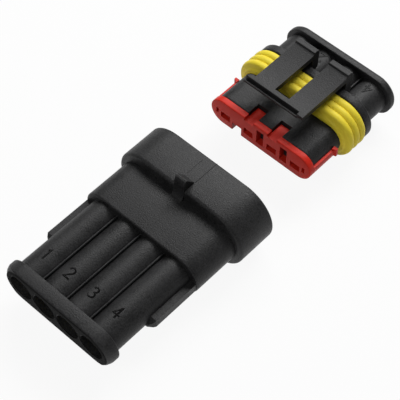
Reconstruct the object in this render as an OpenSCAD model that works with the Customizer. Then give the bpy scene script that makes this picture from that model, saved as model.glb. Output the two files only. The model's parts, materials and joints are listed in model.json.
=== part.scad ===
/* [Layout] */
// Spacing of the wire positions
pitch = 6; // [5.9:0.05:6.3]
// Clear distance between the two halves as they are laid out
half_gap = 14; // [6:0.5:24]
// Soft edge on the cap's wire-end face
rim_edge = 0.4; // [0.3:0.1:1]
// Crisp edge on the inner side of both rims and on the lock plate
crisp_edge = 0.2; // [0.1:0.05:0.3]
// Small edge on moulded steps
step_edge = 0.35; // [0.15:0.05:0.45]

/* [Cap outside] */
// Length of the cap from its wire end to its mouth
cap_l = 41.6; // [39:0.2:44]
// Thickness of the cap's wire-end rim
cap_rim_t = 2.95; // [2:0.05:3.2]
// Height of the cap's wire-end rim
cap_rim_h = 8.8; // [8.4:0.1:9.4]
// Width of the cap's wire-end rim
cap_rim_w = 27.2; // [26.9:0.1:28]
// Inset of that rim's two rounded ends at the wire-end face
cap_rim_round = 1.7; // [1:0.1:2.2]
// Lean in degrees of the cap's wire-end face, whose lower edge is set in
face_lean = 4; // [0:0.5:5]
// Radius of each wire tube
tube_r = 3.6; // [3.4:0.05:3.9]
// Thickness of the rounded ribs between the tubes
rib_t = 0.4; // [0.3:0.05:0.6]
// Height of the ribs above the middle line
rib_z = 2.95; // [2.6:0.05:3.2]
// Distance from the mouth to the back of the waist
waist_l = 19.35; // [18.8:0.05:20]
// Width of the waist
waist_w = 28.6; // [28.4:0.1:29.2]
// Height of the waist
waist_h = 8.9; // [8.7:0.1:9.6]
// Thickness of the side fins
fin_t = 2; // [1.5:0.1:2.2]
// Height of the fins' tops above the middle line
fin_z = 0.6; // [0:0.1:1]
// Length of the side fins' flat tops
fin_l = 10.4; // [8:0.1:12]
// Rearward reach of the fins' sloped ends
fin_slope = 1.2; // [0.4:0.1:1.6]
// Length of the clipped corner at the side shelves' wire-side end
fin_clip = 2; // [1.5:0.1:2.5]

/* [Hood] */
// Length of the hood
hood_l = 9.05; // [8.7:0.05:9.6]
// Width of the hood
hood_w = 31.4; // [31:0.1:32.4]
// Height of the hood
hood_h = 13.8; // [13.4:0.1:14.6]
// Wall of the hood
hood_wall = 1; // [0.8:0.05:1.2]
// Thickness of the hood's back wall
hood_back = 1; // [0.8:0.05:1.2]
// Soft edge on the back of the hood
hood_edge = 0.7; // [0.4:0.1:0.9]
// Width of the catch on the hood
catch_w = 2.6; // [2.2:0.1:3.1]
// Height of the catch above the hood
catch_h = 2.5; // [2.3:0.05:2.6]
// Length of the catch's ramp
catch_ramp = 2.85; // [2.4:0.05:3.1]
// Reach of the catch's foot behind the hood
catch_foot = 1.2; // [0.8:0.1:1.6]

/* [Plug outside] */
// Length of the plug from lock plate to wire end
plug_l = 25.9; // [25:0.1:28]
// Width of the plug's nose
nose_w = 24.8; // [24.5:0.1:25.2]
// Height of the plug's nose
nose_h = 6.4; // [6.2:0.05:6.7]
// Distance from the front face to the collar
collar_y = 15.4; // [15.2:0.1:15.9]
// Thickness of the collar
collar_t = 2; // [1.9:0.1:2.6]
// Width of the collar
collar_w = 28.4; // [27.8:0.1:28.8]
// Height of the collar
collar_h = 11.2; // [11:0.1:11.4]
// Thickness of the plug's wire-end rim
plug_rim_t = 1.9; // [1.5:0.1:2.4]
// Height of the plug's wire-end rim
plug_rim_h = 9.2; // [8.6:0.1:9.6]
// Soft edge on the plug's wire-end face
plug_rim_edge = 0.9; // [0.5:0.1:1.1]

/* [Seals] */
// Radius of each wire cavity's flared mouth
mouth_r = 3.25; // [3.15:0.05:3.4]
// Depth of the flared mouths
mouth_l = 0.4; // [0.3:0.1:1.6]
// Length of the ring seal
seal_l = 7.1; // [6.4:0.1:7.2]
// Number of ribs on the ring seal
seal_ribs = 4; // [3:1:5]
// Depth of the grooves between the seal's ribs
seal_groove = 0.6; // [0.3:0.05:0.9]
// Clearance between the ring seal and the hood
seal_gap = 0.1; // [0.05:0.01:0.2]
// Diameter of each wire cavity
cavity_d = 5.4; // [5.2:0.05:5.5]
// Depth of each wire cavity
cavity_l = 9.5; // [8.8:0.1:10]
// Depth of each wire seal below its cavity's mouth
wire_seal_in = 4.2; // [3.6:0.1:4.8]
// Diameter of the wire hole in each wire seal
wire_hole_d = 1.6; // [1.2:0.05:1.8]

/* [Locks] */
// Thickness of the plug's lock plate
lock_t = 1.4; // [1.2:0.05:1.6]
// Height of the plug's lock plate
lock_h = 6.3; // [6:0.05:6.4]
// Travel of the plug's lock plate
lock_travel = 1.6; // [1:0.1:1.6]
// Width of each contact window
window_w = 2.4; // [2:0.05:2.5]
// Height of each contact window
window_h = 1.6; // [1.5:0.05:2.1]
// Width of each tall slot
tall_slot_w = 1.8; // [1.2:0.1:2]
// Height of each tall slot
tall_slot_h = 3.8; // [3:0.1:4.2]
// Width of the open notch at the bottom edge
notch_w = 2.4; // [2:0.1:2.6]
// Width of the fingers over the middle contacts
finger_w = 2.3; // [2:0.1:2.7]
// Length of the fingers behind the lock plate
finger_l = 2.8; // [2:0.1:3.2]
// Distance of the rails' hooks from the ring seal
hook_set = 1.2; // [1:0.1:1.4]
// Height of the side rails
rail_h = 2; // [1.6:0.1:2.2]
// Thickness of the side rails
rail_t = 0.9; // [0.7:0.05:1]
// Thickness of the cap's lock plate
cap_lock_t = 2; // [1.6:0.1:2.2]
// Height of the cap's lock plate
cap_lock_h = 3.8; // [3.6:0.1:3.9]
// Travel of the cap's lock plate
cap_lock_travel = 1; // [0.6:0.1:1]

/* [Latch] */
// Width of each latch arm
arm_w = 4.9; // [4:0.1:5.4]
// Thickness of the latch arms
arm_t = 1.3; // [1:0.05:1.5]
// Clearance between the hood and the latch arms
arm_gap = 0.25; // [0.2:0.01:0.4]
// Clear width between the latch arms
window_clear = 3.6; // [3.5:0.05:4]
// Distance from the front face to the latch bar
bar_y = 4.1; // [3.9:0.1:4.4]
// Depth of the latch bar along the connector
bar_l = 1.9; // [1.6:0.1:2.1]
// Distance of the groove's back wall from the latch bar's front
groove_l = 0.8; // [0.6:0.1:1]
// Depth of the groove behind the latch bar's lip
groove_h = 1; // [0.8:0.1:1.2]
// Reach of the latch bar past the left arm
bar_reach = 1.5; // [0.5:0.1:2]
// Length of the arms inside the latch bar
arm_in = 0.9; // [0.5:0.1:1.2]
// Length of the full block at the latch bar's end
bar_end_l = 1.4; // [1:0.1:1.8]
// Length of the raised thumb tabs
tab_l = 2.2; // [2:0.1:2.6]
// Length of the flat on top of each thumb tab
tab_flat_l = 1.1; // [0.8:0.1:1.3]
// Rise of the thumb tabs above the arms
tab_rise = 0.5; // [0.3:0.05:0.7]
// Inset of the latch pins from the arms' sides
pin_inset = 0.5; // [0.4:0.05:0.6]
// Radius of the latch pins
pin_r = 0.45; // [0.4:0.01:0.5]
// Length of the latch legs along the connector
leg_l = 1.9; // [1.8:0.1:2.1]
// Thickness of the eyes that carry the latch
eye_t = 1.4; // [1.2:0.1:1.6]

/* [Contacts] */
// Width of the flat tabs
tab_w = 1.5; // [1.2:0.05:1.6]
// Thickness of the flat tabs
tab_t = 0.8; // [0.6:0.05:0.9]
// Diameter of the contact chambers
chamber_d = 3.4; // [3.3:0.05:3.5]
// Side of the contacts' square bodies
contact_s = 2.2; // [2:0.05:2.3]
// Sheet thickness of the contacts
sheet_t = 0.25; // [0.2:0.01:0.3]
// Start of the crimp on the wire seal's neck
seal_crimp_y = 0.3; // [0.2:0.05:0.5]
// Start of the crimp on the bare wire
wire_crimp_y = 2.5; // [2.3:0.1:2.8]
// Length of the crimp on the bare wire
wire_crimp_l = 1.7; // [1.4:0.1:1.9]
// Inner radius of the crimp on the bare wire
wire_crimp_r = 0.75; // [0.65:0.05:0.85]
// Width of the strip that joins the crimps to the body
strip_w = 0.9; // [0.7:0.05:1.1]
// Distance of the contacts' square bodies from the cavity shoulder
body_y = 4.8; // [4.7:0.1:5.2]

/* [Fits] */
// Clearance between the mated latch bar and the catch
catch_gap = 0.15; // [0.1:0.01:0.3]
// Clearance around a sliding lock
slide_gap = 0.1; // [0.06:0.01:0.15]
// Clearance around a latch pin
pivot_gap = 0.05; // [0.03:0.01:0.08]
// Clearance between the nose and the waist's bore
nose_gap = 0.3; // [0.25:0.01:0.4]
// Clearance around a seated seal
seat_gap = 0.05; // [0.03:0.01:0.08]
// Clearance between the latch legs and the plug housing
leg_gap = 0.1; // [0.08:0.01:0.15]
// Space left between the two locks when mated and open
end_gap = 0.2; // [0.1:0.02:0.4]

/* [Hidden] */
ways = 4;
span = (ways - 1) * pitch;
cavity_x = [for (i = [0 : ways - 1]) i * pitch - span / 2];
valley_x = [for (i = [0 : ways - 2]) (i + 0.5) * pitch - span / 2];
big_fn = 40;
mid_fn = 24;
small_fn = 16;
over = 0.5;
total_l = cap_l + half_gap + plug_l;
cap_y = cap_l - total_l / 2;
plug_y = cap_y + half_gap;
axis_z = hood_h / 2;
cavity_r = cavity_d / 2;
chamber_r = chamber_d / 2;
finger_z = chamber_r + 0.65;
mate_y = catch_gap + bar_y + bar_l + hood_l;
floor_y = mate_y + lock_travel + cap_lock_travel + end_gap;
travel = half_gap + mate_y;
bore_w = hood_w - 2 * hood_wall;
bore_h = hood_h - 2 * hood_wall;
rail_x = nose_w / 2 + 0.45;
hook_x = rail_x + 0.45;
waist_bore_w = 2 * (hook_x + nose_gap);
waist_bore_h = nose_h + 2 * nose_gap;
seal_w = bore_w - 2 * seal_gap;
seal_h = bore_h - 2 * seal_gap;
seal_y = collar_y - seal_l;
arm_z = hood_h / 2 + arm_gap;
arm_x = window_clear / 2 + arm_w / 2;
pivot_y = collar_y + collar_t + leg_gap + leg_l / 2;
pivot_z = tube_r + leg_gap + leg_l / 2;
eye_r = leg_l / 2 - 0.1;
leg_end = pivot_y + leg_l / 2;
shoulder_cap = cap_l - cavity_l;
shoulder_plug = plug_l - cavity_l;
wire_seal_l = cavity_l - wire_seal_in - 0.2;
wire_seal_neck = 1.8;
wire_seal_neck_r = 1.15;
tab_z = 0.1 + tab_t / 2 + sheet_t - contact_s / 2;
window_z = tab_z - 0.3;
tab_tip_y = hood_l - 0.5;
socket_y = lock_t + 0.6;
socket_depth = 6;

function oval_start(r, y, e, l) = [for (a = [0 : 22.5 : 90]) [r - e + e * sin(a), y + l - l * cos(a)]];
function soft_start(r, y, e) = oval_start(r, y, e, e);
function soft_end(r, y, e) = [for (a = [0 : 22.5 : 90]) [r - e + e * cos(a), y - e + e * sin(a)]];
function mirrored(p) = [for (i = [len(p) - 1 : -1 : 0]) [-p[i][0], p[i][1]]];

// A round-ended bar along Y whose half height follows a profile of [radius, y] points
module profile_bar(w, h, profile, fn) {
    centre = (w - h) / 2;
    for (s = [-1, 1])
        translate([s * centre, 0, 0]) rotate([-90, 0, 0])
            rotate_extrude($fn = fn)
                polygon(concat([[0, profile[0][1]]], profile, [[0, profile[len(profile) - 1][1]]]));
    translate([-centre, 0, 0]) rotate([90, 0, 90])
        linear_extrude(2 * centre)
            polygon([for (p = concat(profile, mirrored(profile))) [p[1], p[0]]]);
}

// A round-ended bar with softened edges at both ends
module soft_bar(w, h, y0, y1, e0, e1, fn = big_fn) {
    profile_bar(w, h, concat(soft_start(h / 2, y0, e0), soft_end(h / 2, y1, e1)), fn);
}

// A plain round-ended bar, used for bores and necks
module plain_bar(w, h, y0, y1, fn = big_fn) {
    profile_bar(w, h, [[h / 2, y0], [h / 2, y1]], fn);
}

module along_y(x, r, y0, y1, fn = mid_fn) {
    translate([x, y0, 0]) rotate([-90, 0, 0]) cylinder(r = r, h = y1 - y0, $fn = fn);
}

module block(x0, x1, y0, y1, z0, z1) {
    translate([x0, y0, z0]) cube([x1 - x0, y1 - y0, z1 - z0]);
}

// Four merged wire tubes with thin rounded ribs in the valleys on both faces
module tube_bank(y0, y1) {
    crest = rib_z - rib_t / 2;
    for (x = cavity_x) along_y(x, tube_r, y0, y1, big_fn);
    for (x = valley_x) {
        block(x - rib_t / 2, x + rib_t / 2, y0, y1, -crest, crest);
        for (s = [-1, 1])
            translate([0, 0, s * crest]) along_y(x, rib_t / 2, y0, y1, small_fn);
    }
}

// One wire cavity with its contact chamber; the mouth faces -Y and the shoulder is at 0
module cavity(x, chamber_to) {
    flare = (mouth_r - cavity_r) / mouth_l;
    along_y(x, cavity_r, -cavity_l - over, 0, big_fn);
    along_y(x, chamber_r, -over, chamber_to, mid_fn);
    translate([x, -cavity_l - over, 0]) rotate([-90, 0, 0])
        cylinder(r1 = mouth_r + flare * over, r2 = cavity_r, h = mouth_l + over, $fn = big_fn);
}

// Catch on the hood: ramp to the mouth, leaning back and a curved foot on the waist
module catch() {
    top = hood_h / 2;
    low = waist_h / 2;
    back = -hood_l;
    foot = [for (a = [0 : 22.5 : 90])
        [back - catch_foot * (1 - sin(a)), top - 0.5 - (top - 0.5 - low) * cos(a)]];
    translate([-catch_w / 2, 0, 0]) rotate([90, 0, 90]) linear_extrude(catch_w)
        polygon(concat([[back + over, low - over], [back - catch_foot, low - over]], foot,
            [[back, top], [back + 0.15, top + catch_h * 0.48], [back + 0.43, top + catch_h * 0.84],
             [back + 0.67, top + catch_h], [back + 0.85, top + catch_h],
             [back + catch_ramp, top + 0.05], [back + catch_ramp, top - 0.4]]));
}

// Shelf along each side of the tubes, with a sloped and clipped wire-side end
module side_fins() {
    x0 = span / 2 + tube_r - 1;
    x1 = waist_w / 2 - 0.35;
    y0 = -waist_l - fin_l;
    for (s = [0, 1])
        translate([0, 0, fin_z]) mirror([s, 0, 0]) difference() {
            translate([x0, 0, 0]) rotate([90, 0, 90]) linear_extrude(x1 - x0)
                polygon([[y0, 0], [over - waist_l, 0], [over - waist_l, -fin_t],
                    [y0 - fin_slope, -fin_t], [y0 - fin_slope * 0.8, -fin_t * 0.6]]);
            translate([0, 0, -fin_t - over]) linear_extrude(fin_t + 2 * over)
                polygon([[x1, y0], [x1 + 1, y0], [x1 + 1, y0 - fin_clip],
                    [x1 - fin_clip * 1.1, y0 - fin_clip], [x1 - fin_clip / 2, y0 - fin_clip / 2],
                    [x1 - fin_clip * 0.15, y0 - fin_clip / 4]]);
        }
}

// The cap's rim: crisp along the flats, oval at both ends, with a leaning wire-end face
module cap_rim() {
    oval_r = cap_rim_h / 2 + cap_rim_round;
    difference() {
        intersection() {
            soft_bar(cap_rim_w, cap_rim_h, -cap_l, -cap_l + cap_rim_t, rim_edge, crisp_edge);
            profile_bar(cap_rim_w + 0.1, 2 * oval_r,
                concat(oval_start(oval_r, -cap_l, cap_rim_round, cap_rim_t),
                    [[oval_r, -cap_l + cap_rim_t + over]]), big_fn);
        }
        translate([0, -cap_l, cap_rim_h / 2 - rim_edge]) rotate([face_lean, 0, 0])
            block(-cap_rim_w, cap_rim_w, -cap_rim_t, 0, -2 * cap_rim_h, cap_rim_h);
    }
}

module cap_housing() color([0.13, 0.13, 0.14])
    translate([0, cap_y, axis_z]) difference() {
        union() {
            cap_rim();
            tube_bank(-cap_l + cap_rim_t / 2, -waist_l + over);
            soft_bar(waist_w, waist_h, -waist_l, -hood_l + over, step_edge, 0.1);
            soft_bar(hood_w, hood_h, -hood_l, 0, hood_edge, step_edge);
            side_fins();
            catch();
        }
        plain_bar(bore_w, bore_h, -hood_l + hood_back, over);
        plain_bar(waist_bore_w, waist_bore_h, -floor_y, -hood_l + hood_back + over);
        plain_bar(span + cap_lock_h + 2 * slide_gap, cap_lock_h + 2 * slide_gap,
            -floor_y - cap_lock_t, -floor_y + over, mid_fn);
        for (x = cavity_x) translate([0, -shoulder_cap, 0])
            cavity(x, shoulder_cap - floor_y - cap_lock_t + over);
    }

module cap_lock() color([0.78, 0.17, 0.14])
    translate([0, cap_y - floor_y, axis_z]) difference() {
        plain_bar(span + cap_lock_h, cap_lock_h, -cap_lock_t, 0, mid_fn);
        for (x = cavity_x)
            block(x - tab_w / 2 - 0.3, x + tab_w / 2 + 0.3, -cap_lock_t - over, over,
                tab_z - tab_t / 2 - 0.25, tab_z + tab_t / 2 + 0.25);
        for (x = valley_x)
            block(x - 0.5, x + 0.5, -cap_lock_t / 2, over, -cap_lock_h / 2 - over, 0.4 - cap_lock_h / 2);
    }

// Pads and eyes on the wire tubes that carry the latch
module latch_seats() {
    for (s = [-1, 1]) {
        x = s * arm_x;
        block(x - arm_w / 2 + 0.1, x + arm_w / 2 - 0.1, collar_y + collar_t - over,
            leg_end - 0.1, 0, tube_r - 0.1);
        block(x - eye_t / 2, x + eye_t / 2, pivot_y - eye_r, pivot_y + eye_r, 0, pivot_z);
        translate([x - eye_t / 2, pivot_y, pivot_z]) rotate([0, 90, 0])
            cylinder(r = eye_r, h = eye_t, $fn = mid_fn);
    }
}

module plug_housing() color([0.13, 0.13, 0.14])
    translate([0, plug_y, axis_z]) difference() {
        union() {
            soft_bar(nose_w, nose_h, lock_t, collar_y + over, step_edge, 0.1);
            soft_bar(collar_w, collar_h, collar_y, collar_y + collar_t, step_edge, step_edge);
            tube_bank(collar_y + collar_t / 2, plug_l - plug_rim_t / 2);
            soft_bar(span + plug_rim_h, plug_rim_h, plug_l - plug_rim_t, plug_l,
                crisp_edge, plug_rim_edge);
            latch_seats();
        }
        for (x = cavity_x) translate([0, shoulder_plug, 0]) mirror([0, 1, 0])
            cavity(x, shoulder_plug - lock_t + over);
        for (s = [-1, 1]) {
            side = s * (nose_w / 2 + over);
            deep = s * (rail_x - rail_t - slide_gap);
            block(min(side, deep), max(side, deep), 0, seal_y, -rail_h / 2 - 0.2 - slide_gap,
                rail_h / 2 - 0.2 + slide_gap);
            block(s * pitch / 2 - finger_w / 2 - slide_gap * 2,
                s * pitch / 2 + finger_w / 2 + slide_gap * 2, 0,
                lock_t + finger_l + 0.3, chamber_r + 0.05, nose_h);
            translate([s * arm_x - arm_w / 2, pivot_y, pivot_z]) rotate([0, 90, 0])
                cylinder(r = pin_r + pivot_gap, h = arm_w, $fn = mid_fn);
        }
    }

// One latch arm with its raised tab and its leg, forked around an eye
module latch_arm(x) {
    x0 = x - arm_w / 2;
    arm_start = bar_y + bar_l - arm_in;
    top = arm_z + arm_t;
    difference() {
        union() {
            translate([x0, 0, 0]) rotate([90, 0, 90]) linear_extrude(arm_w)
                polygon([[arm_start, arm_z], [leg_end, arm_z], [leg_end, top + tab_rise - 0.3],
                    [leg_end - 0.3, top + tab_rise], [leg_end - tab_flat_l, top + tab_rise],
                    [leg_end - tab_l, top], [arm_start, top]]);
            block(x0, x0 + arm_w, pivot_y - leg_l / 2, leg_end, pivot_z, arm_z + over);
            translate([x0, pivot_y, pivot_z]) rotate([0, 90, 0])
                cylinder(d = leg_l, h = arm_w, $fn = mid_fn);
        }
        block(x - eye_t / 2 - leg_gap, x + eye_t / 2 + leg_gap, pivot_y - leg_l, pivot_y + leg_l,
            pivot_z - leg_l, pivot_z + eye_r + 0.15);
    }
    translate([x0 + pin_inset, pivot_y, pivot_z]) rotate([0, 90, 0])
        cylinder(r = pin_r, h = arm_w - 2 * pin_inset, $fn = mid_fn);
}

// Cross bar with a thin lip and groove along its front, closed by a full block at one end
module latch_bar() {
    top = arm_z + arm_t;
    x0 = -arm_x - arm_w / 2 - bar_reach;
    x1 = arm_x + arm_w / 2 - bar_end_l;
    back = bar_y + bar_l;
    groove = bar_y + groove_l;
    round_r = bar_l - 0.6;
    difference() {
        translate([x0, 0, 0]) rotate([90, 0, 90]) linear_extrude(x1 + 0.1 - x0)
            polygon([[bar_y + 0.2, arm_z], [back, arm_z], [back, top], [groove + 0.1, top],
                [groove, top - 0.1], [groove, top - groove_h], [bar_y + 0.22, top - groove_h],
                [bar_y + 0.22, top - 0.6], [bar_y, top - 0.65], [bar_y, arm_z + 0.2]]);
        difference() {
            block(x0 - over, x0 + round_r, back - round_r, back + over, arm_z - over, top + over);
            translate([x0 + round_r, back - round_r, arm_z - 2 * over])
                cylinder(r = round_r, h = arm_t + 4 * over, $fn = mid_fn);
        }
    }
    translate([x1, 0, 0]) rotate([90, 0, 90]) linear_extrude(bar_end_l)
        polygon([[bar_y + 0.6, arm_z], [back, arm_z], [back, top], [bar_y + 0.15, top],
            [bar_y, top - 0.15], [bar_y, arm_z + 0.6]]);
}

module latch() color([0.13, 0.13, 0.14])
    translate([0, plug_y, axis_z]) {
        for (s = [-1, 1]) latch_arm(s * arm_x);
        latch_bar();
    }

// Side rail with its hook, on the +X side; its outside follows the plate's rounded end
module rail() {
    z0 = -rail_h / 2 - 0.2;
    z1 = z0 + rail_h;
    hook_y = seal_y - hook_set;
    end_r = lock_h / 2;
    rail_l = hook_y + 0.8 - lock_t / 2;
    translate([0, lock_t / 2 + rail_l, 0]) rotate([90, 0, 0]) linear_extrude(rail_l)
        polygon(concat([[rail_x - rail_t, z1], [rail_x - rail_t, z0]],
            [for (k = [0 : 4]) let (z = z0 + rail_h * k / 4)
                [rail_x - end_r + sqrt(end_r * end_r - z * z), z]]));
    translate([0, 0, z0 + 0.4]) linear_extrude(rail_h)
        polygon([[rail_x - 0.5, hook_y], [hook_x, hook_y + 0.3], [hook_x, hook_y + 0.8],
            [rail_x - 0.5, hook_y + 0.8]]);
}

module front_lock() color([0.78, 0.17, 0.14])
    translate([0, plug_y, axis_z]) difference() {
        union() {
            soft_bar(2 * rail_x, lock_h, 0, lock_t, crisp_edge, 0.05);
            for (s = [0, 1]) mirror([s, 0, 0]) rail();
            for (s = [-1, 1])
                block(s * pitch / 2 - finger_w / 2, s * pitch / 2 + finger_w / 2, lock_t / 2,
                    lock_t + finger_l, chamber_r + 0.15, finger_z);
        }
        for (x = cavity_x)
            block(x - window_w / 2, x + window_w / 2, -over, lock_t + over,
                window_z - window_h / 2, window_z + window_h / 2);
        for (i = [1, 2])
            block(valley_x[i] - tall_slot_w / 2, valley_x[i] + tall_slot_w / 2, -over,
                lock_t + over, 0.2 - tall_slot_h / 2, 0.2 + tall_slot_h / 2);
        block(valley_x[0] - notch_w / 2, valley_x[0] + notch_w / 2, -over, lock_t + over,
            -lock_h, -0.9);
        for (s = [-1, 1]) {
            block(s * (span / 2 + 2.1) - 0.35, s * (span / 2 + 2.1) + 0.35, -over, lock_t - 0.5,
                -0.9, 0.5);
            block(s * pitch / 2 - finger_w / 2, s * pitch / 2 + finger_w / 2, -over,
                lock_t + over, finger_z, lock_h);
        }
    }

module ring_seal() color([0.86, 0.77, 0.22])
    translate([0, plug_y, axis_z]) {
        rib_l = seal_l / seal_ribs;
        profile = [for (i = [0 : seal_ribs - 1]) for (a = [-81 : 27 : 81])
            [seal_h / 2 - seal_groove * (1 - cos(a)), seal_y + rib_l * (i + 0.5 + 0.49 * sin(a))]];
        difference() {
            profile_bar(seal_w, seal_h, concat([[seal_h / 2 - 0.9, seal_y]], profile,
                [[seal_h / 2 - 0.9, collar_y]]), big_fn);
            plain_bar(nose_w + 2 * seat_gap, nose_h + 2 * seat_gap, seal_y - over,
                collar_y + over);
        }
    }

// Sealing grommet for one wire; the shoulder is at 0 and the wire leaves along -Y
module wire_seal(x) {
    r = cavity_r - seat_gap;
    start = -0.1;
    w = wire_seal_l;
    translate([x, 0, 0]) rotate([-90, 0, 0]) rotate_extrude($fn = small_fn)
        polygon([[wire_hole_d / 2, start - w], [r - 0.35, start - w], [r, start - w * 0.88],
            [r - 0.35, start - w * 0.7], [r - 0.35, start - w * 0.6], [r, start - w * 0.45],
            [r - 0.35, start - w * 0.3], [r - 0.35, start - w * 0.2], [r, start - w * 0.08],
            [r - 0.2, start], [wire_seal_neck_r, start], [wire_seal_neck_r, start + wire_seal_neck],
            [wire_hole_d / 2, start + wire_seal_neck]]);
}

// Open sleeve that is crimped round a wire or a seal's neck
module crimp(x, r, y0, y1) {
    difference() {
        along_y(x, r + sheet_t, y0, y1, small_fn);
        along_y(x, r, y0 - over, y1 + over, small_fn);
        block(x - r * 0.45, x + r * 0.45, y0 - over, y1 + over, 0, 2 * r);
    }
}

// Tail shared by both contacts: two crimps joined by a floor strip
module contact_tail(x) {
    r1 = wire_seal_neck_r + seat_gap;
    r2 = wire_crimp_r;
    x0 = x - strip_w / 2;
    x1 = x + strip_w / 2;
    step_y = wire_seal_neck + 0.1;
    crimp(x, r1, seal_crimp_y, wire_seal_neck - 0.15);
    crimp(x, r2, wire_crimp_y, wire_crimp_y + wire_crimp_l);
    block(x0, x1, seal_crimp_y + 0.6, step_y + sheet_t, -r1 - sheet_t, -r1);
    block(x0, x1, step_y, step_y + sheet_t, -r1 - sheet_t, -r2);
    block(x0, x1, step_y, body_y + 0.2, -r2 - sheet_t, -r2);
}

module tab_contact(i) color([0.72, 0.73, 0.75])
    translate([0, cap_y - shoulder_cap, axis_z]) {
        x = cavity_x[i];
        body_end = shoulder_cap - floor_y - cap_lock_t - slide_gap;
        tip = shoulder_cap - tab_tip_y;
        contact_tail(x);
        difference() {
            block(x - contact_s / 2, x + contact_s / 2, body_y, body_end,
                -contact_s / 2, contact_s / 2);
            block(x - contact_s / 2 + sheet_t, x + contact_s / 2 - sheet_t, body_y - over,
                body_end - 1, -contact_s / 2 + sheet_t, contact_s / 2 - sheet_t);
        }
        translate([x, 0, tab_z - tab_t / 2]) linear_extrude(tab_t)
            polygon([[-tab_w / 2, body_end - 0.5], [tab_w / 2, body_end - 0.5],
                [tab_w / 2, tip - 0.8], [tab_w / 4, tip], [-tab_w / 4, tip],
                [-tab_w / 2, tip - 0.8]]);
    }

module socket_contact(i) color([0.72, 0.73, 0.75])
    translate([0, plug_y + shoulder_plug, axis_z]) mirror([0, 1, 0]) {
        x = cavity_x[i];
        front = shoulder_plug - socket_y;
        contact_tail(x);
        difference() {
            block(x - contact_s / 2, x + contact_s / 2, body_y, front,
                -contact_s / 2, contact_s / 2);
            block(x - tab_w / 2 - 0.1, x + tab_w / 2 + 0.1, front - socket_depth, front + over,
                tab_z - tab_t / 2 - 0.1, tab_z + tab_t / 2 + 0.1);
            block(x - contact_s / 2 + sheet_t, x + contact_s / 2 - sheet_t, body_y - over,
                front - socket_depth - 1, -contact_s / 2 + sheet_t, contact_s / 2 - sheet_t);
        }
    }

module cap_wire_seal(i) color([0.86, 0.77, 0.22])
    translate([0, cap_y - shoulder_cap, axis_z]) wire_seal(cavity_x[i]);

module plug_wire_seal(i) color([0.86, 0.77, 0.22])
    translate([0, plug_y + shoulder_plug, axis_z]) mirror([0, 1, 0]) wire_seal(cavity_x[i]);

cap_housing();
cap_lock();
tab_contact(0);  // tab_contact_1
tab_contact(1);  // tab_contact_2
tab_contact(2);  // tab_contact_3
tab_contact(3);  // tab_contact_4
cap_wire_seal(0);  // cap_wire_seal_1
cap_wire_seal(1);  // cap_wire_seal_2
cap_wire_seal(2);  // cap_wire_seal_3
cap_wire_seal(3);  // cap_wire_seal_4
plug_housing();
latch();
front_lock();
ring_seal();
socket_contact(0);  // socket_contact_1
socket_contact(1);  // socket_contact_2
socket_contact(2);  // socket_contact_3
socket_contact(3);  // socket_contact_4
plug_wire_seal(0);  // plug_wire_seal_1
plug_wire_seal(1);  // plug_wire_seal_2
plug_wire_seal(2);  // plug_wire_seal_3
plug_wire_seal(3);  // plug_wire_seal_4
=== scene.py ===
"""Looks of the sealed four-way connector, laid out with its two halves apart on the mating line."""
import json
import math

import bpy
import bmesh
from mathutils import Matrix, Vector


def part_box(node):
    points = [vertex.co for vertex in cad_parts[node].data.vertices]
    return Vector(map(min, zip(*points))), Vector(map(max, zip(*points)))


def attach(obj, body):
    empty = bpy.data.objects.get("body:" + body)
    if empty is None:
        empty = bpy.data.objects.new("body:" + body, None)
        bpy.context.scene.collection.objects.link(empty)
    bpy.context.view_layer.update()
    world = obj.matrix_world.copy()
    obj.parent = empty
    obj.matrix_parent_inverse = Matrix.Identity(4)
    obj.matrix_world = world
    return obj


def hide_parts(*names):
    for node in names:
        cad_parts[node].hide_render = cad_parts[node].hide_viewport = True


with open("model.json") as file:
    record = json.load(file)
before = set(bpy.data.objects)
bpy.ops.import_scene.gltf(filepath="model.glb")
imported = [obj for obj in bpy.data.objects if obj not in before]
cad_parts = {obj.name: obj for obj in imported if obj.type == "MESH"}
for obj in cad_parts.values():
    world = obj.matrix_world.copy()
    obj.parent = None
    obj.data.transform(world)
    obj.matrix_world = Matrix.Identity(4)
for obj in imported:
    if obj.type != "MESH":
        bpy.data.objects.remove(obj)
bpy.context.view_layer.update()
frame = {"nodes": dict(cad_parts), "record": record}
MM = 0.001


def bare_material(name):
    """A material with only its Principled shader and output."""
    material = bpy.data.materials.new(name)
    material.use_nodes = True
    tree = material.node_tree
    tree.nodes.clear()
    shader = tree.nodes.new("ShaderNodeBsdfPrincipled")
    output = tree.nodes.new("ShaderNodeOutputMaterial")
    tree.links.new(shader.outputs["BSDF"], output.inputs["Surface"])
    return material, tree, shader


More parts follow.
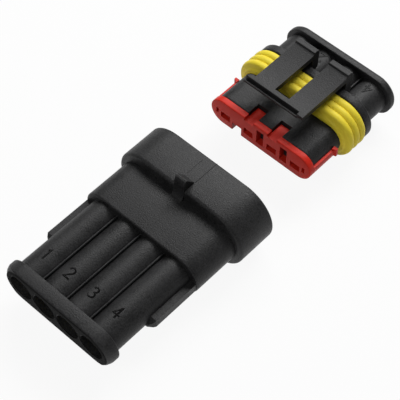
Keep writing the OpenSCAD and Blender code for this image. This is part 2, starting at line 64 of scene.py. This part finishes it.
def grain_group():
    """Moulded grain: a fine spark-eroded height, a slow mottle and a slight colour change."""
    group = bpy.data.node_groups.new("moulded_grain", "ShaderNodeTree")
    face = group.interface
    face.new_socket("Colour", in_out="INPUT", socket_type="NodeSocketColor")
    for name, value in (("Grain per metre", 4000.0), ("Variation", 0.1),
                        ("Roughness", 0.5), ("Roughness spread", 0.1)):
        socket = face.new_socket(name, in_out="INPUT", socket_type="NodeSocketFloat")
        socket.default_value = value
    face.new_socket("Colour", in_out="OUTPUT", socket_type="NodeSocketColor")
    face.new_socket("Roughness", in_out="OUTPUT", socket_type="NodeSocketFloat")
    face.new_socket("Height", in_out="OUTPUT", socket_type="NodeSocketFloat")
    nodes, links = group.nodes, group.links
    given = nodes.new("NodeGroupInput")
    result = nodes.new("NodeGroupOutput")
    place = nodes.new("ShaderNodeTexCoord")
    fine = nodes.new("ShaderNodeTexNoise")
    fine.inputs["Detail"].default_value = 3.0
    fine.inputs["Roughness"].default_value = 0.6
    slow = nodes.new("ShaderNodeTexNoise")
    slow.inputs["Scale"].default_value = 260.0
    slow.inputs["Detail"].default_value = 2.0
    links.new(place.outputs["Object"], fine.inputs["Vector"])
    links.new(place.outputs["Object"], slow.inputs["Vector"])
    links.new(given.outputs["Grain per metre"], fine.inputs["Scale"])
    mottle = nodes.new("ShaderNodeMath")
    mottle.operation = "MULTIPLY_ADD"
    mottle.inputs[1].default_value = 0.7
    links.new(fine.outputs["Fac"], mottle.inputs[0])
    slow_part = nodes.new("ShaderNodeMath")
    slow_part.operation = "MULTIPLY"
    slow_part.inputs[1].default_value = 0.3
    links.new(slow.outputs["Fac"], slow_part.inputs[0])
    links.new(slow_part.outputs[0], mottle.inputs[2])
    centred = nodes.new("ShaderNodeMath")
    centred.operation = "SUBTRACT"
    centred.inputs[1].default_value = 0.5
    links.new(mottle.outputs[0], centred.inputs[0])
    gain = nodes.new("ShaderNodeMath")
    gain.operation = "MULTIPLY_ADD"
    gain.inputs[2].default_value = 1.0
    links.new(centred.outputs[0], gain.inputs[0])
    links.new(given.outputs["Variation"], gain.inputs[1])
    tint = nodes.new("ShaderNodeVectorMath")
    tint.operation = "SCALE"
    links.new(given.outputs["Colour"], tint.inputs[0])
    links.new(gain.outputs[0], tint.inputs["Scale"])
    rough = nodes.new("ShaderNodeMath")
    rough.operation = "MULTIPLY_ADD"
    links.new(centred.outputs[0], rough.inputs[0])
    links.new(given.outputs["Roughness spread"], rough.inputs[1])
    links.new(given.outputs["Roughness"], rough.inputs[2])
    links.new(tint.outputs[0], result.inputs["Colour"])
    links.new(rough.outputs[0], result.inputs["Roughness"])
    links.new(fine.outputs["Fac"], result.inputs["Height"])
    return group


GRAIN = grain_group()


def moulded(name, colour, per_metre, variation, roughness, spread, depth, specular=0.5):
    """A moulded plastic or rubber finish: grain in its colour, roughness and height."""
    material, tree, shader = bare_material(name)
    grain = tree.nodes.new("ShaderNodeGroup")
    grain.node_tree = GRAIN
    grain.inputs["Colour"].default_value = (*colour, 1.0)
    grain.inputs["Grain per metre"].default_value = per_metre
    grain.inputs["Variation"].default_value = variation
    grain.inputs["Roughness"].default_value = roughness
    grain.inputs["Roughness spread"].default_value = spread
    bump = tree.nodes.new("ShaderNodeBump")
    bump.inputs["Strength"].default_value = 1.0
    bump.inputs["Distance"].default_value = depth
    tree.links.new(grain.outputs["Colour"], shader.inputs["Base Color"])
    tree.links.new(grain.outputs["Roughness"], shader.inputs["Roughness"])
    tree.links.new(grain.outputs["Height"], bump.inputs["Height"])
    tree.links.new(bump.outputs["Normal"], shader.inputs["Normal"])
    shader.inputs["Specular IOR Level"].default_value = specular
    return material


def paint_wire_end_shade(material, face_y, lean, sign):
    """Paints shade onto the wire-end face of a housing: near-black and rough, between the cavity
    mouths too.

    The face passes through face_y at the rim's upper edge and leans by the slope lean;
    sign is 1 for a housing that lies on the +Y side of its face."""
    tree = material.node_tree
    nodes, links = tree.nodes, tree.links
    shader = nodes["Principled BSDF"]
    place = nodes.new("ShaderNodeTexCoord")
    parts = nodes.new("ShaderNodeSeparateXYZ")
    links.new(place.outputs["Object"], parts.inputs[0])
    tilt = nodes.new("ShaderNodeMath")
    tilt.operation = "MULTIPLY_ADD"
    tilt.inputs[1].default_value = lean
    links.new(parts.outputs["Z"], tilt.inputs[0])
    links.new(parts.outputs["Y"], tilt.inputs[2])
    depth = nodes.new("ShaderNodeMath")
    depth.operation = "MULTIPLY_ADD"
    depth.inputs[1].default_value = sign
    depth.inputs[2].default_value = -sign * face_y
    links.new(tilt.outputs[0], depth.inputs[0])
    mask = nodes.new("ShaderNodeMapRange")
    mask.inputs["From Min"].default_value = SHADE_END_DEPTH * MM
    mask.inputs["From Max"].default_value = SHADE_FULL_DEPTH * MM
    links.new(depth.outputs[0], mask.inputs["Value"])
    for socket, kind, shade_value in (("Base Color", "RGBA", WIRE_END_SHADE_COLOUR),
                               ("Roughness", "FLOAT", WIRE_END_SHADE_ROUGHNESS)):
        grained = shader.inputs[socket].links[0].from_socket
        mix = nodes.new("ShaderNodeMix")
        mix.data_type = kind
        ends = [item for item in mix.inputs if item.enabled and item.name in ("A", "B")]
        result = [item for item in mix.outputs if item.enabled][0]
        ends[1].default_value = shade_value
        links.new(mask.outputs["Result"], mix.inputs["Factor"])
        links.new(grained, ends[0])
        links.new(result, shader.inputs[socket])


# Painted shade on the wire-end faces: a near-black colour with a high roughness
WIRE_END_SHADE_COLOUR = (0.001, 0.001, 0.001, 1.0)
WIRE_END_SHADE_ROUGHNESS = 0.95
# Millimetres behind the face where the painted shade is full, and where the grain is back
SHADE_FULL_DEPTH = 0.08
SHADE_END_DEPTH = 0.22

# Colour, grain per metre, variation, roughness, its spread, grain depth and specular level
BLACK_SETTINGS = ((0.019, 0.019, 0.0195), 3700.0, 4.2, 0.46, 0.8, 0.00007, 0.22)
BLACK = moulded("black_nylon_grain", *BLACK_SETTINGS)
RED = moulded("red_plastic_satin", (0.62, 0.027, 0.014), 2500.0, 0.3, 0.42, 0.15, 0.000015, 0.12)
YELLOW = moulded("yellow_silicone_satin", (0.84, 0.68, 0.045), 2000.0, 0.12, 0.5, 0.15, 0.00001,
                 0.2)
TIN = moulded("tinned_brass_plate", (0.72, 0.72, 0.70), 5000.0, 0.15, 0.28, 0.15, 0.000005)
TIN.node_tree.nodes["Principled BSDF"].inputs["Metallic"].default_value = 1.0
# Near-black, smoother nylon: on the raised numbers its dark is painted shade, standing in for the
# shade inside engraved numbers; the hood's mould lines take the same dark
SHADE_AND_LINE_BLACK = moulded("black_nylon_shade_and_lines", (0.003, 0.003, 0.003), 3300.0, 0.3, 0.25, 0.1,
                      0.00001, 0.08)
BURNISHED = moulded("black_nylon_burnished", (0.02, 0.02, 0.02), 3300.0, 0.2, 0.3, 0.1, 0.00001,
                    0.7)
FINISH = {"black_nylon": BLACK, "red_plastic": RED, "yellow_silicone": YELLOW,
          "tinned_brass": TIN}


def smooth_group(limit_degrees):
    """Shades a piece smooth but for its sharp edges, and marks the outward ones to be rounded."""
    group = bpy.data.node_groups.new("smooth_faces", "GeometryNodeTree")
    group.interface.new_socket("Geometry", in_out="INPUT", socket_type="NodeSocketGeometry")
    group.interface.new_socket("Geometry", in_out="OUTPUT", socket_type="NodeSocketGeometry")
    nodes, links = group.nodes, group.links
    given = nodes.new("NodeGroupInput")
    result = nodes.new("NodeGroupOutput")
    plain = nodes.new("GeometryNodeRemoveAttribute")
    plain.inputs["Name"].default_value = "custom_normal"
    join = nodes.new("GeometryNodeMergeByDistance")
    join.inputs["Distance"].default_value = 0.002 * MM
    faces = nodes.new("GeometryNodeSetShadeSmooth")
    faces.domain = "FACE"
    edges = nodes.new("GeometryNodeSetShadeSmooth")
    edges.domain = "EDGE"
    edges.inputs["Shade Smooth"].default_value = False
    angle = nodes.new("GeometryNodeInputMeshEdgeAngle")
    sharp = nodes.new("FunctionNodeCompare")
    sharp.operation = "GREATER_THAN"
    sharp.inputs["B"].default_value = math.radians(limit_degrees)
    links.new(given.outputs[0], plain.inputs["Geometry"])
    links.new(plain.outputs[0], join.inputs["Geometry"])
    links.new(join.outputs[0], faces.inputs["Geometry"])
    links.new(faces.outputs[0], edges.inputs["Geometry"])
    links.new(angle.outputs["Unsigned Angle"], sharp.inputs["A"])
    links.new(sharp.outputs[0], edges.inputs["Selection"])
    outward = nodes.new("FunctionNodeCompare")
    outward.operation = "GREATER_THAN"
    outward.inputs["B"].default_value = math.radians(limit_degrees)
    links.new(angle.outputs["Signed Angle"], outward.inputs["A"])
    weight = nodes.new("GeometryNodeStoreNamedAttribute")
    weight.data_type = "FLOAT"
    weight.domain = "EDGE"
    weight.inputs["Name"].default_value = "bevel_weight_edge"
    links.new(edges.outputs[0], weight.inputs["Geometry"])
    links.new(outward.outputs[0], weight.inputs["Value"])
    links.new(weight.outputs[0], result.inputs[0])
    return group


SHARP_DEGREES = 28
SMOOTH = smooth_group(SHARP_DEGREES)
# Radius of the moulded edges, in millimetres
EDGE_WIDTH = {"black_nylon": 0.10, "red_plastic": 0.10, "yellow_silicone": 0.06,
              "tinned_brass": 0.03}


def soften(node, width):
    """Smooth faces and a small moulded radius on every outward sharp edge."""
    smooth = node.modifiers.new("smooth_faces", "NODES")
    smooth.node_group = SMOOTH
    radius = node.modifiers.new("edge_radius", "BEVEL")
    radius.width = width * MM
    radius.segments = 2
    radius.limit_method = "WEIGHT"
    radius.harden_normals = True


for part in frame["record"]["subparts"]:
    node = frame["nodes"][part["node"]]
    node.data.materials.clear()
    node.data.materials.append(FINISH[part["material_slot"]])
    soften(node, EDGE_WIDTH[part["material_slot"]])

# The cap's wire-end face: its slope, and the height in millimetres of its upper edge
FACE_LEAN = math.tan(math.radians(4))
FACE_TOP = 10.9
# Both housings get a material with painted shade over their wire-end faces
for name, end, lean, sign in (("cap_housing", 0, FACE_LEAN, 1), ("plug_housing", 1, 0.0, -1)):
    black = moulded("black_nylon_" + name, *BLACK_SETTINGS)
    paint_wire_end_shade(black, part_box(name)[end][1] + lean * FACE_TOP * MM, lean, sign)
    frame["nodes"][name].data.materials.clear()
    frame["nodes"][name].data.materials.append(black)


# A bead's depth in its seat in millimetres, and how far it runs past its line, in widths
BEAD_SINK = 0.06
BEAD_OVERRUN = 0.3


def swept_bead(mesh, line, width, height, place):
    """A raised stroke along a flat line; place(across, along, out) gives each point's seat."""
    foot, top, sink = width / 2, width / 4, BEAD_SINK
    profile = ((-foot, -sink), (-foot, height * 0.5), (-top, height), (top, height),
               (foot, height * 0.5), (foot, -sink))
    points = [Vector(p) for p in line]
    rings = []
    for i, point in enumerate(points):
        before = (point - points[i - 1]).normalized() if i else None
        after = (points[i + 1] - point).normalized() if i < len(points) - 1 else None
        ahead = ((before or after) + (after or before)).normalized()
        side = Vector((-ahead.y, ahead.x))
        wide = 1.0 / max((side.dot(Vector((-(before or after).y, (before or after).x)))), 0.6)
        reach = Vector((0, 0))
        if before is None:
            reach = -ahead * width * BEAD_OVERRUN
        if after is None:
            reach = ahead * width * BEAD_OVERRUN
        rings.append([mesh.verts.new(place(*(point + reach + side * across * wide), out))
                      for across, out in profile])
    count = len(profile)
    for one, two in zip(rings, rings[1:]):
        for k in range(count):
            mesh.faces.new((one[k], one[(k + 1) % count], two[(k + 1) % count], two[k]))
    mesh.faces.new(rings[0][::-1])
    mesh.faces.new(rings[-1])


def arc(centre_x, centre_y, radius_x, radius_y, start, end, steps=12):
    """Points of an oval arc, with its angles in degrees."""
    return [(centre_x + radius_x * math.cos(math.radians(start + (end - start) * i / steps)),
             centre_y + radius_y * math.sin(math.radians(start + (end - start) * i / steps)))
            for i in range(steps + 1)]


def straight(points, step=0.15):
    """A polyline's points with more laid between them, so that it follows a curved face."""
    line = [points[0]]
    for (x0, y0), (x1, y1) in zip(points, points[1:]):
        count = max(1, round(math.hypot(x1 - x0, y1 - y0) / step))
        line += [(x0 + (x1 - x0) * i / count, y0 + (y1 - y0) * i / count)
                 for i in range(1, count + 1)]
    return line


# Strokes of the moulded cavity numbers, in millimetres about each number's middle
NUMBER_STROKES = {
    1: [straight([(-0.28, 0.80), (0.08, 1.15), (0.08, -1.2)])],
    2: [arc(0.0, 0.55, 0.6, 0.62, 165, -35)
        + straight([(0.35, -0.05), (-0.6, -1.15), (0.65, -1.15)])],
    3: [arc(0.0, 0.6, 0.52, 0.56, 150, -85), arc(0.0, -0.56, 0.6, 0.6, 80, -155)],
    4: [straight([(0.25, -1.2), (0.25, 1.15), (-0.65, -0.45), (0.7, -0.45)])],
}
TUBE_R = 3.6
STROKE_WIDTH = 0.36
STROKE_HEIGHT = 0.07
# Distance of the numbers' middles from each half's wire end, in millimetres
CAP_NUMBERS_IN = 7.3
PLUG_NUMBERS_IN = 4.1


def finish_piece(name, mesh, finish, body):
    """A mesh built here becomes a piece with its finish, riding one CAD body."""
    bmesh.ops.recalc_face_normals(mesh, faces=mesh.faces)
    data = bpy.data.meshes.new(name)
    mesh.to_mesh(data)
    mesh.free()
    data.materials.append(finish)
    piece = bpy.data.objects.new(name, data)
    bpy.context.scene.collection.objects.link(piece)
    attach(piece, body)
    return piece


def cavity_numbers(name, numbers, bore, along, turned, body):
    """Raised numbers on the tubes' crests; bore names the mounts that give each tube's middle."""
    seats = {mount["name"]: mount["pos_m"] for mount in frame["record"]["mounts"]}
    mesh = bmesh.new()
    sign = -1 if turned else 1
    for number in numbers:
        x, _, z = seats["%s_%d" % (bore, number)]

        def place(across, forward, out, x=x, z=z):
            turn = across / TUBE_R
            return (x + sign * (TUBE_R + out) * MM * math.sin(turn), along + sign * forward * MM,
                    z + (TUBE_R + out) * MM * math.cos(turn))

        for line in NUMBER_STROKES[number]:
            swept_bead(mesh, line, STROKE_WIDTH, STROKE_HEIGHT, place)
    # The numbers' near-black is painted shade
    return finish_piece(name, mesh, SHADE_AND_LINE_BLACK, body)


cap_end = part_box("cap_housing")[0][1]
plug_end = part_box("plug_housing")[1][1]
cavity_numbers("cap_numbers", (1, 2, 3, 4), "cap_wire", cap_end + CAP_NUMBERS_IN * MM, False,
               "cap")
cavity_numbers("plug_numbers", (1, 2, 3, 4), "plug_wire", plug_end - PLUG_NUMBERS_IN * MM, True,
               "plug")


# Height of the catch above the hood, length of the hood, and half the catch's bright edge
CATCH_RISE = 2.5
HOOD_LENGTH = 9.05
EDGE_HALF = 1.15


def mould_lines(name, lines):
    """Fine raised lines that the mould leaves on the hood: x, start, end, width and height."""
    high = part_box("cap_housing")[1]
    top = high[2] - CATCH_RISE * MM
    mesh = bmesh.new()
    for x, start, end, width, height in lines:
        def place(across, forward, out, x=x):
            return ((x + across) * MM, high[1] - forward * MM, top + out * MM)

        swept_bead(mesh, straight([(0, start), (0, end)], 1.0), width, height, place)
    return finish_piece(name, mesh, SHADE_AND_LINE_BLACK, "cap")


mould_lines("hood_mould_lines", ((1.4, 0.1, 6.1, 0.10, 0.03), (-1.2, 1.2, 5.5, 0.08, 0.015)))


def catch_glint(name):
    """A burnished edge on the catch, along the top of its back face."""
    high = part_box("cap_housing")[1]
    back = high[1] - HOOD_LENGTH * MM
    tilt_y, tilt_z = 0.515, 0.858

    def place(across, forward, out):
        return (across * MM, back + (0.56 + tilt_y * forward - tilt_z * out) * MM,
                high[2] + (-0.16 + tilt_z * forward + tilt_y * out) * MM)

    mesh = bmesh.new()
    swept_bead(mesh, straight([(-EDGE_HALF, 0), (EDGE_HALF, 0)], 0.5), 0.3, 0.08, place)
    return finish_piece(name, mesh, BURNISHED, "cap")


catch_glint("catch_edge")


def oval(centre_half, radius, y, middle, steps=48):
    """A long round-ended ring about the mating line, as points at one y."""
    points = []
    for side in (1, -1):
        for i in range(steps + 1):
            turn = math.pi * (i / steps - 0.5) + (0 if side == 1 else math.pi)
            points.append(((side * centre_half + radius * math.cos(turn)) * MM, y,
                           middle + radius * math.sin(turn) * MM))
    return points


# The ring seal's ribs and lip, and the nose that it sits on, in millimetres
SEAL_PITCH = 1.7
SEAL_RIBS = 3
SEAL_LENGTH = 5.75
SEAL_GROOVE = 0.55
NOSE_STRAIGHT = 9.2
NOSE_RADIUS = 3.24
RIB_STEPS = 6
RIB_TURN = 13.5
SEAL_LIP = ((0.35, 0.06), (0.62, 0.14), (0.78, 0.25), (0.85, 0.36), (0.92, 0.46), (1.06, 0.54),
            (1.3, 0.60), (1.6, 0.63))


def seal_with_ribs(name):
    """The ring seal: three round ribs from the collar on and a thin low lip round its front."""
    low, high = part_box("ring_seal")
    middle = (low[2] + high[2]) / 2
    reach = (high[2] - low[2]) / 2 / MM - 0.15
    straight_half = (high[0] - low[0]) / 2 / MM - (high[2] - low[2]) / 2 / MM
    outline = [(straight_half, reach - SEAL_GROOVE, 0.0)]
    for rib in range(SEAL_RIBS):
        for k in range(-RIB_STEPS, RIB_STEPS + 1):
            turn = math.radians(RIB_TURN * k)
            outline.append((straight_half, reach - SEAL_GROOVE * (1 - math.cos(turn)),
                            SEAL_PITCH * (rib + 0.5 + 0.49 * math.sin(turn))))
    lip = reach - SEAL_GROOVE * 0.84
    for drop, back in SEAL_LIP:
        outline.append((straight_half, lip - drop, SEAL_PITCH * SEAL_RIBS + back))
    outline.append((NOSE_STRAIGHT, NOSE_RADIUS, SEAL_LENGTH))
    outline.append((NOSE_STRAIGHT, NOSE_RADIUS, 0.0))
    mesh = bmesh.new()
    rings = [[mesh.verts.new(p) for p in oval(half, radius, high[1] - along * MM, middle)]
             for half, radius, along in outline]
    count = len(rings[0])
    for one, two in zip(rings, rings[1:] + rings[:1]):
        for k in range(count):
            after = (k + 1) % count
            mesh.faces.new((one[k], one[after], two[after], two[k])).smooth = True
    seal = finish_piece(name, mesh, YELLOW, "plug")
    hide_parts("ring_seal")
    return seal


seal_with_ribs("seal_rings")


# The latch arms, the window between them and the ridge across their ends, in millimetres
ARM_WIDTH = 4.9
LATCH_WINDOW = 3.6
ARM_MIDDLE = LATCH_WINDOW / 2 + ARM_WIDTH / 2
RIDGE_INSET = 0.04
RIDGE = ((-1.75, -0.45), (-1.55, -0.1), (-1.5, 0.04), (-1.38, 0.12), (-0.62, 0.12),
         (-0.42, 0.02), (-0.05, -0.32), (-0.05, -0.45))


def latch_ridges(name):
    """A raised ridge with a steep front across the end of each latch arm."""
    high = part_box("latch")[1]
    end, top = high[1] / MM, high[2] / MM
    mesh = bmesh.new()
    for side in (-1, 1):
        edges = [side * ARM_MIDDLE - ARM_WIDTH / 2 + RIDGE_INSET,
                 side * ARM_MIDDLE + ARM_WIDTH / 2 - RIDGE_INSET]
        ends = [[mesh.verts.new((x * MM, (end + y) * MM, (top + z) * MM)) for y, z in RIDGE]
                for x in edges]
        mesh.faces.new(ends[0])
        mesh.faces.new(ends[1][::-1])
        for k in range(len(RIDGE)):
            after = (k + 1) % len(RIDGE)
            mesh.faces.new((ends[0][k], ends[0][after], ends[1][after], ends[1][k]))
    return finish_piece(name, mesh, BLACK, "latch")


latch_ridges("latch_tab_ridges")


def to_all_but_matt(tree):
    """1 for rays from the camera, from gloss and through glass, 0 for matt light."""
    path = tree.nodes.new("ShaderNodeLightPath")
    gloss = tree.nodes.new("ShaderNodeMath")
    gloss.operation = "MAXIMUM"
    tree.links.new(path.outputs["Is Glossy Ray"], gloss.inputs[0])
    tree.links.new(path.outputs["Is Transmission Ray"], gloss.inputs[1])
    both = tree.nodes.new("ShaderNodeMath")
    both.operation = "MAXIMUM"
    tree.links.new(path.outputs["Is Camera Ray"], both.inputs[0])
    tree.links.new(gloss.outputs[0], both.inputs[1])
    return path, gloss, both


def pale_floor():
    """A pale floor that looks nearly white and keeps a faint shadow."""
    bpy.ops.mesh.primitive_plane_add(size=FLOOR_SIZE, location=(0, 0, 0))
    floor = bpy.context.object
    floor.name = "floor"
    material = bpy.data.materials.new("pale_floor")
    material.use_nodes = True
    tree = material.node_tree
    tree.nodes.clear()
    output = tree.nodes.new("ShaderNodeOutputMaterial")
    matt = tree.nodes.new("ShaderNodeBsdfDiffuse")
    matt.inputs["Color"].default_value = FLOOR_COLOUR
    white = tree.nodes.new("ShaderNodeEmission")
    white.inputs["Color"].default_value = (1.0, 1.0, 1.0, 1.0)
    mix = tree.nodes.new("ShaderNodeMixShader")
    share = tree.nodes.new("ShaderNodeMath")
    share.operation = "MULTIPLY"
    share.inputs[1].default_value = FLOOR_WHITE
    tree.links.new(to_all_but_matt(tree)[2].outputs[0], share.inputs[0])
    tree.links.new(share.outputs[0], mix.inputs["Fac"])
    tree.links.new(matt.outputs[0], mix.inputs[1])
    tree.links.new(white.outputs[0], mix.inputs[2])
    tree.links.new(mix.outputs[0], output.inputs["Surface"])
    floor.data.materials.append(material)


def dim_room():
    """White behind the object, dim in its gloss, and nearly dark as a light."""
    world = bpy.data.worlds.new("studio")
    bpy.context.scene.world = world
    world.use_nodes = True
    tree = world.node_tree
    background = tree.nodes["Background"]
    background.inputs["Color"].default_value = (1.0, 1.0, 1.0, 1.0)
    path, gloss, _ = to_all_but_matt(tree)
    dim = tree.nodes.new("ShaderNodeMath")
    dim.operation = "MULTIPLY_ADD"
    dim.inputs[1].default_value = ROOM_IN_GLOSS - ROOM_LIGHT
    dim.inputs[2].default_value = ROOM_LIGHT
    tree.links.new(gloss.outputs[0], dim.inputs[0])
    strength = tree.nodes.new("ShaderNodeMath")
    strength.operation = "MAXIMUM"
    tree.links.new(path.outputs["Is Camera Ray"], strength.inputs[0])
    tree.links.new(dim.outputs[0], strength.inputs[1])
    tree.links.new(strength.outputs[0], background.inputs["Strength"])


def soft_lamp(name, azimuth, elevation, distance, size, power):
    """A square lamp aimed at the origin; azimuth 0 is in front of the cap, on the -Y side."""
    light = bpy.data.lights.new(name, "AREA")
    light.shape = "SQUARE"
    light.size = size
    light.energy = power
    lamp = bpy.data.objects.new(name, light)
    bpy.context.scene.collection.objects.link(lamp)
    turn, lift = math.radians(azimuth), math.radians(elevation)
    lamp.location = distance * Vector((math.sin(turn) * math.cos(lift),
                                       -math.cos(turn) * math.cos(lift), math.sin(lift)))
    lamp.rotation_euler = (-lamp.location).to_track_quat("-Z", "Y").to_euler()


FLOOR_SIZE = 3.0
FLOOR_COLOUR = (0.80, 0.80, 0.80, 1.0)
FLOOR_WHITE = 0.92
ROOM_IN_GLOSS = 0.2
ROOM_LIGHT = 0.03
# Name, azimuth, elevation, distance, size and power of each lamp
LAMPS = (("back", 186, 45, 0.4, 0.14, 0.95), ("back_left", 222, 46, 0.5, 0.22, 1.2),
         ("right", 90, 45, 0.5, 0.26, 0.1), ("front", 0, 45, 0.5, 0.26, 0.6))


def studio():
    """A pale floor, a dim room, two lamps behind the plug and weaker ones in front and right."""
    pale_floor()
    dim_room()
    for lamp in LAMPS:
        soft_lamp(*lamp)


def camera(target, distance, azimuth, elevation, roll, lens):
    """The camera looks at target from distance; azimuth 0 looks along +Y."""
    data = bpy.data.cameras.new("camera")
    data.lens = lens
    data.clip_start = 0.01
    seat = bpy.data.objects.new("camera", data)
    bpy.context.scene.collection.objects.link(seat)
    turn, tip, lean = map(math.radians, (azimuth, elevation, roll))
    right = Vector((math.cos(turn), math.sin(turn), 0))
    ahead = Vector((-math.sin(turn) * math.cos(tip), math.cos(turn) * math.cos(tip),
                    -math.sin(tip)))
    up = right.cross(ahead)
    right, up = (right * math.cos(lean) + up * math.sin(lean),
                 up * math.cos(lean) - right * math.sin(lean))
    seat.matrix_world = Matrix.Translation(Vector(target) - ahead * distance) @ Matrix(
        (right, up, -ahead)).transposed().to_4x4()
    bpy.context.scene.camera = seat


studio()
camera(target=(0.00141, -0.00388, 0.0069), distance=0.25958, azimuth=42.03, elevation=54.48,
       roll=0.83, lens=123.27)
bpy.context.scene.view_settings.view_transform = "Standard"
